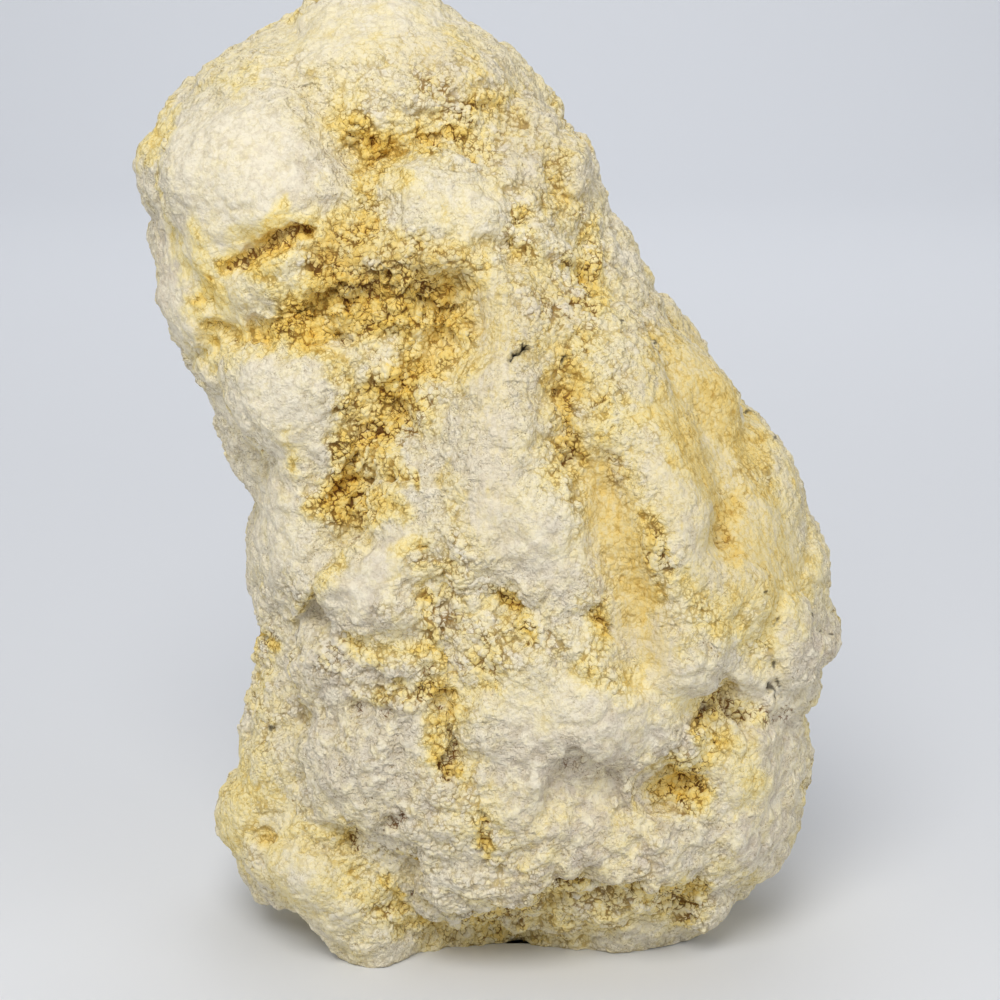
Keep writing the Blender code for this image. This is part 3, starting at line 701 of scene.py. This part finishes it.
class Rind:
    """The skin of the stone: its points and triangles, and what the rind is like at each point."""

    def __init__(self, node):
        self.take_skin(fine_copy(node))
        self.seen = facing(self.places, self.normals)
        spots = pixels(self.places)
        self.blurred = ragged(spots, self.places, ((3.2, 13), (1.3, 8), (0.6, 4)))
        self.wavering = ragged(spots, self.places, ((1.8, 6), (0.8, 4), (0.4, 2.5)))
        self.bend = np.column_stack([ripple(self.places, 2.2, 80 + k) for k in range(3)])
        self.standing = smooth(0.3, 1.2, self.places[:, 2])
        self.outward = self.normals
        self.layers = {}
        self.soft = self.plan(SOFT, smooth(0.1, 0.9, fractal(self.places, 16.0, 60)))
        self.flow = self.plan(FLOW, smooth(0.2, 0.9, fractal(self.places, 18.0, 64)))
        self.rough = 1 - 0.6 * self.soft
        self.lay_powder()
        self.raise_lumps()
        self.move(self.height - SINK)
        self.layers["rest"] = self.places
        self.raise_crumbs()
        self.move(self.height)
        # grey see-through patches, and painted shade under lumps and towards the bottom
        self.layers["grey_and_shade"] = self.plan(GREY_AND_SHADE, 0.8 * smooth(0.1, 0.8, fractal(self.places, 11.0, 70)))
        self.layers["flow"] = self.flow
        self.layers["soft"] = self.soft
        # painted shade in crevices, hollows, pits and undercuts
        self.layers["painted_shade"] = self.seen * painted(self.wavering, PAINTED_SHADE, 0.3)
        self.layers["black"] = self.seen * painted(self.wavering, BLACK, 0.7)

    def take_skin(self, copy):
        """The points and triangles of a fine copy, its front refined, and how hollow it is."""
        places, normals = places_and_normals(copy.data)
        hollow = np.sum((eased_places(copy, BROAD_EASING) - places) * normals, axis=1)
        layer = copy.data.attributes.new("hollow", "FLOAT", "POINT")
        layer.data.foreach_set("value", hollow.astype(np.float32))
        refine_front(copy.data)
        write_places(copy.data, eased_places(copy, FRONT_EASING))
        self.hollow = read_values(copy.data.attributes["hollow"].data)
        self.places, self.normals = places_and_normals(copy.data)
        copy.data.calc_loop_triangles()
        corners = np.empty(len(copy.data.loop_triangles) * 3, dtype=np.int32)
        copy.data.loop_triangles.foreach_get("vertices", corners)
        self.corners = corners.reshape(-1, 3)
        bpy.data.objects.remove(copy)

    def plan(self, runs, elsewhere):
        """A plan on the front, and something else on the sides and behind."""
        return self.seen * painted(self.blurred, runs) + (1 - self.seen) * elsewhere

    def lay_powder(self):
        """Ochre powder, with painted shade under the foot: planned on the front, by chance and in
        hollows elsewhere.
        """
        patches = smooth(-0.2, 0.9, fractal(self.places, 14.0, 66))
        elsewhere = 0.12 + 0.5 * smooth(-0.1, 0.75, self.hollow) + 0.35 * patches
        planned = 1 - (1 - painted(self.blurred, POWDER)) * (1 - painted(self.blurred, CAST))
        self.powder = self.seen * planned + (1 - self.seen) * elsewhere
        crumbly = self.plan(CRUMBLY, 0.5 * patches)
        crumbly += 0.4 * smooth(0.0, 0.6, fractal(self.places, 3.2, 68))
        self.crumble = np.clip(0.12 + 0.85 * self.powder + crumbly - 0.6 * self.soft, 0.08, 1.0)
        self.powder += 0.1 * smooth(0.0, 0.8, self.hollow) - 0.1 * smooth(0.0, 0.6, -self.hollow)
        self.powder += 0.14 * fractal(self.places, 2.4, 67)

    def raise_lumps(self):
        """The relief that can be told from a step away, with powder in its joins."""
        bent = self.places + 0.7 * self.bend
        downhill = bent * (1, 1, RIDGE_STRETCH) + RIDGE_SLANT * bent[:, 2:] * (1, 0, 0)
        knob, knob_join, knob_own = lumps(bent, KNOB_SIZE, 100)
        lump, lump_join, lump_own = lumps(bent, LUMP_SIZE, 110)
        ridge, ridge_join, ridge_own = lumps(downhill, RIDGE_SIZE, 120)
        round_ones = KNOB_HEIGHT * knob * (0.6 + 0.6 * knob_own) + LUMP_HEIGHT * lump * (0.5 + lump_own)
        runs = RIDGE_HEIGHT * ridge * (0.6 + 0.7 * ridge_own) + 0.5 * LUMP_HEIGHT * lump
        joins = np.maximum(0.4 * knob_join, 0.4 * lump_join)
        for number, (size, height) in enumerate(FOLDS):
            fold, crease = creased(bent, size, 130 + number)
            height = height * (0.5 + 0.5 * self.crumble)
            round_ones += height * fold
            runs += 0.3 * height * fold
            joins = np.maximum(joins, (0.7 - 0.2 * number) * crease)
        self.height = self.rough * ((1 - self.flow) * (round_ones - 0.6) + self.flow * (runs - 0.2))
        self.height += SWELL_HEIGHT * fractal(self.places, SWELL_SIZE, 140)
        self.height += self.seen * swollen(self.blurred, SWELLS)
        uneven = 0.75 + 0.5 * ripple(self.places, 1.1, 142)
        self.height -= self.seen * uneven * sunk(self.wavering, FINE_HOLLOWS)
        self.joins = self.rough * ((1 - self.flow) * joins + self.flow * 0.9 * ridge_join)
        self.joins *= 0.5 + 0.5 * self.crumble
        self.powder += (0.08 + 0.25 * self.powder) * self.joins + 0.1 * (lump_own - 0.5)

    def raise_crumbs(self):
        """The relief below two millimetres: clumps, clods, crumbs and sugary roughness."""
        clump, clump_join, clump_own = lumps(self.places + 0.4 * self.bend, CLUMP_SIZE, 145)
        clod, crumb = sampled(self.places, crumb_heights)
        patches = smooth(-0.6, 0.4, fractal(self.places, 1.9, 180))
        crumbly = self.crumble * (0.5 + 0.5 * patches)
        sugar = np.random.default_rng(SEED).uniform(-1, 1, len(self.places))
        self.height = WEAR_HEIGHT * self.rough * fractal(self.places, WEAR_SIZE, 185)
        self.height += CLUMP_HEIGHT * (0.1 + 0.9 * crumbly) * (clump * (0.6 + 0.8 * clump_own) - 0.6)
        self.height += CLOD_HEIGHT * self.rough * (0.12 + 0.88 * crumbly) * (clod - 0.6)
        self.height += CRUMB_HEIGHT * self.rough * (0.18 + 0.82 * crumbly) * (crumb - 0.6)
        self.height += SUGAR_HEIGHT * sugar
        # how deep in the joins and gaps, which the colours darken as painted shade
        self.layers["depth"] = 0.25 * clump_join + 0.25 * self.joins + 0.15 * (0.5 - clump_own)
        self.layers["crumble"] = crumbly
        self.layers["powder"] = np.clip(self.powder, 0.0, 1.0)

    def move(self, heights):
        """Moves the points along their normals, but none of them below the ground."""
        moved = self.places + self.normals * heights[:, None]
        lowered = np.maximum(moved[:, 2], 0.0) * self.standing
        moved[:, 2] = np.where(self.standing < 1, lowered, moved[:, 2])
        self.places = moved
        a, b, c = (moved[self.corners[:, k]] for k in range(3))
        across = np.cross(b - a, c - a)
        self.normals = np.column_stack([
            sum(np.bincount(self.corners[:, k], across[:, axis], len(moved)) for k in range(3))
            for axis in range(3)
        ])
        self.normals /= np.linalg.norm(self.normals, axis=1)[:, None] + 1e-12


def close_rims(corners, places, outward):
    """Turns the open rims of a band in under the skin and closes them there. Gives the triangles
    for that, the added places, and the point of the band that each of them continues."""
    sides = np.concatenate([corners[:, [k, (k + 1) % 3]] for k in range(3)])
    ordered = np.sort(sides, axis=1)
    _, first, count = np.unique(ordered, axis=0, return_index=True, return_counts=True)
    rims = sides[first[count == 1]]
    high = places[rims[:, 0], 2] > places[:, 2].mean()
    triangles, added, sources = [], [], []
    start = len(places)
    for rim in (rims[high], rims[~high]):
        if len(rim):
            points = np.unique(rim)
            ring = places[points] - RIM_DEPTH * outward[points]
            outer_a, outer_b = rim.T
            inner_a, inner_b = (start + np.searchsorted(points, rim)).T
            middle = np.full(len(rim), start + len(points))
            triangles.append(np.column_stack((outer_b, outer_a, inner_a)))
            triangles.append(np.column_stack((outer_b, inner_a, inner_b)))
            triangles.append(np.column_stack((inner_b, inner_a, middle)))
            added += [ring, ring.mean(axis=0)[None]]
            sources += [points, points[:1]]
            start += len(points) + 1
    return np.vstack(triangles), np.vstack(added), np.concatenate(sources)


def mesh_object(name, places, corners, layers):
    mesh = bpy.data.meshes.new(name)
    mesh.vertices.add(len(places))
    mesh.loops.add(corners.size)
    mesh.polygons.add(len(corners))
    mesh.polygons.foreach_set("loop_start", np.arange(0, corners.size, 3, dtype=np.int32))
    mesh.loops.foreach_set("vertex_index", corners.astype(np.int32).ravel())
    write_places(mesh, places)
    for layer, values in layers.items():
        kind, item = ("FLOAT", "value") if values.ndim == 1 else ("FLOAT_VECTOR", "vector")
        made = mesh.attributes.new(layer, kind, "POINT")
        made.data.foreach_set(item, values.astype(np.float32).ravel())
    mesh.validate()
    return new_object(name, mesh)


def rind_pieces(rind):
    """The skin in bands of equally many triangles, each closed inside the stone."""
    heights = rind.places[rind.corners, 2].mean(axis=1)
    limits = np.quantile(heights, np.linspace(0, 1, len(BANDS) + 1))
    band = np.clip(np.searchsorted(limits, heights, side="right") - 1, 0, len(BANDS) - 1)
    pieces = []
    for number, name in enumerate(BANDS):
        used, corners = np.unique(rind.corners[band == number], return_inverse=True)
        corners = corners.reshape(-1, 3)
        triangles, added, sources = close_rims(corners, rind.places[used], rind.outward[used])
        places = np.vstack((rind.places[used], added))
        used = np.concatenate((used, used[sources]))
        layers = {key: values[used] for key, values in rind.layers.items()}
        piece = mesh_object(f"rind_{name}", places, np.vstack((corners, triangles)), layers)
        piece.data.shade_smooth()
        piece.data.normals_split_custom_set_from_vertices(rind.normals[used])
        pieces.append(piece)
    return pieces


def linear(colour):
    """A colour as the shader wants it, from red, green and blue from 0 to 255."""
    shares = np.array(colour) / 255
    bright = ((shares + 0.055) / 1.055) ** 2.4
    return (*np.where(shares <= 0.04045, shares / 12.92, bright).tolist(), 1.0)


class Nodes:
    """Short ways to add nodes to a tree."""

    def __init__(self, tree):
        self.tree = tree

    def add(self, kind, inputs):
        """A new node, with its sockets set to a value or linked to another node's output."""
        node = self.tree.nodes.new(kind)
        for key, given in inputs.items():
            if isinstance(given, bpy.types.NodeSocket):
                self.tree.links.new(given, node.inputs[key])
            else:
                node.inputs[key].default_value = given
        return node

    def layer(self, name, output="Fac"):
        """What the mesh's layer of this name holds."""
        node = self.tree.nodes.new("ShaderNodeAttribute")
        node.attribute_name = name
        return node.outputs[output]

    def noise(self, place, size, detail=3.0, output="Fac"):
        """Noise with swells of this many millimetres, around 0.5."""
        inputs = {"Vector": place, "Scale": 1 / size, "Detail": detail, "Roughness": 0.6}
        return self.add("ShaderNodeTexNoise", inputs).outputs[output]

    def bent(self, place, size, amount):
        """A place moved about by noise, so that what is drawn there has no even shape."""
        swirl = self.noise(place, size, 2.0, "Color")
        centred = self.add("ShaderNodeVectorMath", {0: swirl, 1: (0.5, 0.5, 0.5)})
        centred.operation = "SUBTRACT"
        moved = self.add("ShaderNodeVectorMath", {0: centred.outputs[0], 1: (amount,) * 3, 2: place})
        moved.operation = "MULTIPLY_ADD"
        return moved.outputs[0]

    def crumbs(self, place, size):
        """Packed crumbs, whose gaps are wide here and closed there. Gives how round they stand, how
        deep in a gap each place is, and a tone for each crumb."""
        inputs = {"Vector": self.bent(place, size, 0.7 * size), "Scale": 1 / size}
        crumb = self.add("ShaderNodeTexVoronoi", inputs)
        tone = self.add("ShaderNodeSeparateXYZ", {0: crumb.outputs["Color"]}).outputs[0]
        dome = self.step(crumb.outputs["Distance"], 0.15, 0.75, 1.0, 0.0)
        edge = self.add("ShaderNodeTexVoronoi", inputs)
        edge.feature = "DISTANCE_TO_EDGE"
        closed = self.math("SUBTRACT", self.noise(place, 1.5 * size, 1.0), 0.46)
        edge = self.plus(edge.outputs["Distance"], closed, 0.4)
        return dome, self.step(edge, 0.0, 0.13, 1.0, 0.0), tone

    def step(self, value, low, high, bottom=0.0, top=1.0):
        """Goes smoothly from bottom at low to top at high."""
        inputs = {"Value": value, 1: low, 2: high, 3: bottom, 4: top}
        node = self.add("ShaderNodeMapRange", inputs)
        node.interpolation_type = "SMOOTHSTEP"
        return node.outputs["Result"]

    def math(self, operation, *values):
        node = self.add("ShaderNodeMath", dict(enumerate(values)))
        node.operation = operation
        return node.outputs[0]

    def times(self, first, second):
        return self.math("MULTIPLY", first, second)

    def plus(self, total, part, share):
        """The total and this share of the part."""
        return self.math("MULTIPLY_ADD", part, share, total)

    def ramp(self, factor, stops):
        node = self.add("ShaderNodeValToRGB", {"Fac": factor})
        points = node.color_ramp.elements
        while len(points) < len(stops):
            points.new(0.5)
        for point, (position, colour) in zip(points, stops):
            point.position = position
            point.color = linear(colour)
        return node.outputs["Color"]

    def blend(self, factor, first, second):
        node = self.tree.nodes.new("ShaderNodeMix")
        node.data_type = "RGBA"
        for number, given in ((0, factor), (6, first), (7, second)):
            if isinstance(given, tuple):
                node.inputs[number].default_value = linear(given)
            else:
                self.tree.links.new(given, node.inputs[number])
        return node.outputs[2]


def crumb_heights(n, place):
    """The heights of the clods and crumbs, from the same nodes as the colours."""
    for size in (CLOD_SIZE, CRUMB_SIZE):
        dome, gap, _ = n.crumbs(place, size)
        yield n.plus(n.plus(0.45, dome, 0.55), gap, -0.45)


def sampled(places, pattern):
    """The values that a pattern of nodes has at each place."""
    mesh = bpy.data.meshes.new("cloud")
    mesh.vertices.add(len(places))
    mesh.vertices.foreach_set("co", places.astype(np.float32).ravel())
    cloud = new_object("cloud", mesh)
    tree = bpy.data.node_groups.new("cloud", "GeometryNodeTree")
    for way in ("INPUT", "OUTPUT"):
        tree.interface.new_socket("Geometry", in_out=way, socket_type="NodeSocketGeometry")
    n = Nodes(tree)
    geometry = n.add("NodeGroupInput", {}).outputs[0]
    values = list(pattern(n, n.add("GeometryNodeInputPosition", {}).outputs[0]))
    names = [f"value_{number}" for number in range(len(values))]
    for name, value in zip(names, values):
        inputs = {"Geometry": geometry, "Name": name, "Value": value}
        geometry = n.add("GeometryNodeStoreNamedAttribute", inputs).outputs[0]
    n.add("NodeGroupOutput", {0: geometry})
    cloud.modifiers.new("pattern", "NODES").node_group = tree
    ready = cloud.evaluated_get(bpy.context.evaluated_depsgraph_get()).data
    found = [read_values(ready.attributes[name].data) for name in names]
    bpy.data.objects.remove(cloud)
    bpy.data.node_groups.remove(tree)
    return found


def new_material(name):
    """A material, its nodes and its surface shader."""
    material = bpy.data.materials.new(name)
    material.use_nodes = True
    return material, Nodes(material.node_tree), material.node_tree.nodes["Principled BSDF"]


class RindLook:
    """The rind's material: chalk and ochre powder, with milky and earthy areas, pits and cracks, and
    painted shade in hollows, gaps, under lumps and towards the bottom.
    """

    def __init__(self):
        self.material, self.n, surface = new_material("rind")
        n = self.n
        self.place = n.layer("rest", "Vector")
        self.crumble = n.layer("crumble")
        self.speckle = n.noise(self.place, SPECKLE_SIZE)
        self.worn = n.noise(self.place, WORN_SIZE, 4.0)
        self.crease = n.math("PINGPONG", n.noise(self.place, CREASE_SIZE, 2.5), 0.5)
        _, self.clod_gap, self.clod_tone = n.crumbs(self.place, CLOD_SIZE)
        self.crumb_dome, self.crumb_gap, self.crumb_tone = n.crumbs(self.place, CRUMB_SIZE)
        self.flaky = self.flaky_areas()
        self.powder = self.powder_amount()
        self.deep = self.depth()
        bump = n.add("ShaderNodeBump", {"Height": self.relief(), "Distance": BUMP_HEIGHT * MM})
        colour = self.pitted(self.weathered(self.powdered()))
        n.tree.links.new(colour, surface.inputs["Base Color"])
        n.tree.links.new(n.step(self.speckle, 0.3, 0.7, 0.62, 0.92), surface.inputs["Roughness"])
        n.tree.links.new(bump.outputs["Normal"], surface.inputs["Normal"])
        surface.inputs["Specular IOR Level"].default_value = 0.3

    def flaky_areas(self):
        """Where the rind has cracks and grit: in patches, less on soft areas and among crumbs."""
        n = self.n
        hard = n.step(n.layer("soft"), 0.1, 0.9, 1.0, 0.2)
        patches = n.step(n.noise(self.place, PATCH_SIZE), 0.36, 0.62, 0.25, 1.25)
        return n.times(n.times(hard, patches), n.plus(1.0, self.crumble, -0.8))

    def powder_amount(self):
        """The layer of ochre powder, with mottles, speckles and streaks."""
        n = self.n
        along = n.add("ShaderNodeMapping", {"Vector": self.place, "Scale": (1.0, 1.0, 0.16)})
        streak = n.math("SUBTRACT", n.noise(along.outputs["Vector"], STREAK_SIZE), 0.5)
        powder = n.plus(n.layer("powder"), n.noise(self.place, MOTTLE_SIZE), 0.5)
        powder = n.plus(powder, self.speckle, 0.24)
        powder = n.plus(powder, n.times(streak, n.layer("flow")), 1.2)
        return n.math("SUBTRACT", powder, 0.34)

    def depth(self):
        """How deep each place lies among the crumbs, which the colours darken as painted shade."""
        n = self.n
        deep = n.plus(n.layer("depth"), self.clod_gap, 0.45)
        deep = n.plus(deep, self.crumb_gap, 0.5)
        return n.plus(deep, n.math("SUBTRACT", 0.5, self.worn), 0.9)

    def powdered(self):
        """Chalk to ochre, by the powder and each crumb's own tone, and darker with depth: partly powder
        gathered deep down, partly painted shade.
        """
        n = self.n
        uneven = n.plus(0.04, self.crumble, 0.24)
        shade = n.times(self.powder, 0.62)
        for tone in (self.clod_tone, self.crumb_tone):
            shade = n.plus(shade, n.math("SUBTRACT", 0.5, tone), uneven)
        reach = n.plus(0.06, self.powder, 0.3)
        return n.ramp(n.plus(shade, n.math("SUBTRACT", self.deep, 0.3), reach), CHALK_TO_OCHRE)

    def weathered(self, colour):
        """Adds milky areas with painted shade, and dull areas, where there is no powder, and earthy
        streaks.
        """
        n = self.n
        bare = n.step(self.powder, 0.05, 0.45, 1.0, 0.0)
        # milky see-through patches, and painted shade under lumps and towards the bottom
        milky_and_shade = n.times(n.layer("grey_and_shade"), n.step(n.noise(self.place, PATCH_SIZE), 0.38, 0.62))
        colour = n.blend(n.times(n.times(milky_and_shade, bare), 0.75), colour, MILKY_AND_SHADE)
        dull = n.times(n.step(n.noise(self.place, DULL_SIZE, 5.0), 0.46, 0.62), bare)
        colour = n.blend(n.times(dull, 0.3), colour, DULL)
        return n.blend(n.times(n.layer("flow"), 0.27), colour, EARTHY)

    def pitted(self, colour):
        """Adds grit, cracks, pores, painted shade in hollows and gaps, and black specks."""
        n = self.n
        grit = n.step(n.noise(self.place, GRIT_SIZE, 2.0), 0.3, 0.42, 0.4, 0.0)
        cracks = n.times(n.step(self.crease, 0.47, 0.498, 0.0, 0.85), n.step(self.speckle, 0.48, 0.58))
        cracks = n.times(n.math("MAXIMUM", grit, cracks), self.flaky)
        # painted shade deep in the gaps between the crumbs
        pore_shade = n.times(n.step(self.deep, 0.38, 0.8), n.plus(0.12, self.crumble, 0.85))
        colour = n.blend(n.math("MAXIMUM", pore_shade, cracks), colour, n.ramp(self.powder, PITS))
        # painted shade in crevices, hollows and undercuts, broken up by the crumbs' gaps and speckles
        shade_marks = n.plus(n.layer("painted_shade"), n.math("SUBTRACT", self.crumb_gap, 0.5), 0.5)
        shade_marks = n.plus(shade_marks, n.math("SUBTRACT", self.speckle, 0.5), 1.0)
        colour = n.blend(n.step(shade_marks, 0.5, 1.05, 0.0, 0.9), colour, SHADE_BROWN)
        return n.blend(n.layer("black"), colour, SOOTY)

    def relief(self):
        """The relief that is finer than the mesh."""
        n = self.n
        relief = n.times(self.crumb_dome, n.plus(0.12, self.crumble, 1.1))
        relief = n.plus(relief, self.worn, 1.0)
        return n.plus(relief, n.times(self.crease, -5.0), self.flaky)


def studio_material():
    material, _, surface = new_material("studio")
    surface.inputs["Base Color"].default_value = linear(STUDIO)
    surface.inputs["Roughness"].default_value = 0.9
    return material


def studio_sweep():
    """A pale floor that curves up into a backdrop."""
    profile = [(SWEEP_FRONT, 0.0)]
    for step in range(SWEEP_STEPS + 1):
        angle = math.pi / 2 * step / SWEEP_STEPS
        forth = SWEEP_BACK - SWEEP_BEND + SWEEP_BEND * math.sin(angle)
        profile.append((forth, SWEEP_BEND * (1 - math.cos(angle))))
    profile.append((SWEEP_BACK, SWEEP_HEIGHT))
    work = bmesh.new()
    left, right = ([work.verts.new((x, y, z)) for y, z in profile] for x in (-SWEEP_SIDE, SWEEP_SIDE))
    for k in range(len(profile) - 1):
        work.faces.new((left[k], right[k], right[k + 1], left[k + 1]))
    mesh = bpy.data.meshes.new("studio_sweep")
    work.to_mesh(mesh)
    work.free()
    mesh.shade_smooth()
    mesh.materials.append(studio_material())
    sweep = new_object("studio_sweep", mesh)
    sweep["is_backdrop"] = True


def pointed_object(name, data, place, way):
    """An object at this place, in metres, that looks this way."""
    thing = new_object(name, data)
    thing.location = place
    thing.rotation_euler = Vector(way).to_track_quat("-Z", "Y").to_euler()
    return thing


def light_studio():
    for name, (place, aim, size, power, colour) in LAMPS.items():
        lamp = bpy.data.lights.new(name, "AREA")
        lamp.shape = "DISK"
        lamp.size = size
        lamp.energy = power
        lamp.color = colour
        pointed_object(name, lamp, place, Vector(aim) - Vector(place))
    world = bpy.data.worlds.new("studio")
    world.use_nodes = True
    world.node_tree.nodes["Background"].inputs["Color"].default_value = DAYLIGHT
    world.node_tree.nodes["Background"].inputs["Strength"].default_value = DAYLIGHT_STRENGTH
    bpy.context.scene.world = world
    bpy.context.scene.view_settings.view_transform = "Standard"


def place_camera():
    lens = bpy.data.cameras.new("camera")
    lens.sensor_width = SENSOR
    lens.lens = SENSOR * DISTANCE / (PICTURE * MM_PER_PIXEL)
    lens.clip_start = 0.01
    bpy.context.scene.camera = pointed_object("camera", lens, EYE * MM, FORWARD)


def write_sizes():
    """Works out the solid's box and the finished model's box as plain lists of numbers."""
    boxes = {"cad": cad_box, "visual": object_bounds()}
    plain = {name: [list(map(float, corner)) for corner in box] for name, box in boxes.items()}


place_camera()
light_studio()
studio_sweep()
pieces = rind_pieces(Rind(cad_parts[NODE]))
look = RindLook().material
for piece in pieces:
    piece.data.materials.append(look)
    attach(piece, BODY)
    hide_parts(NODE)
write_sizes()
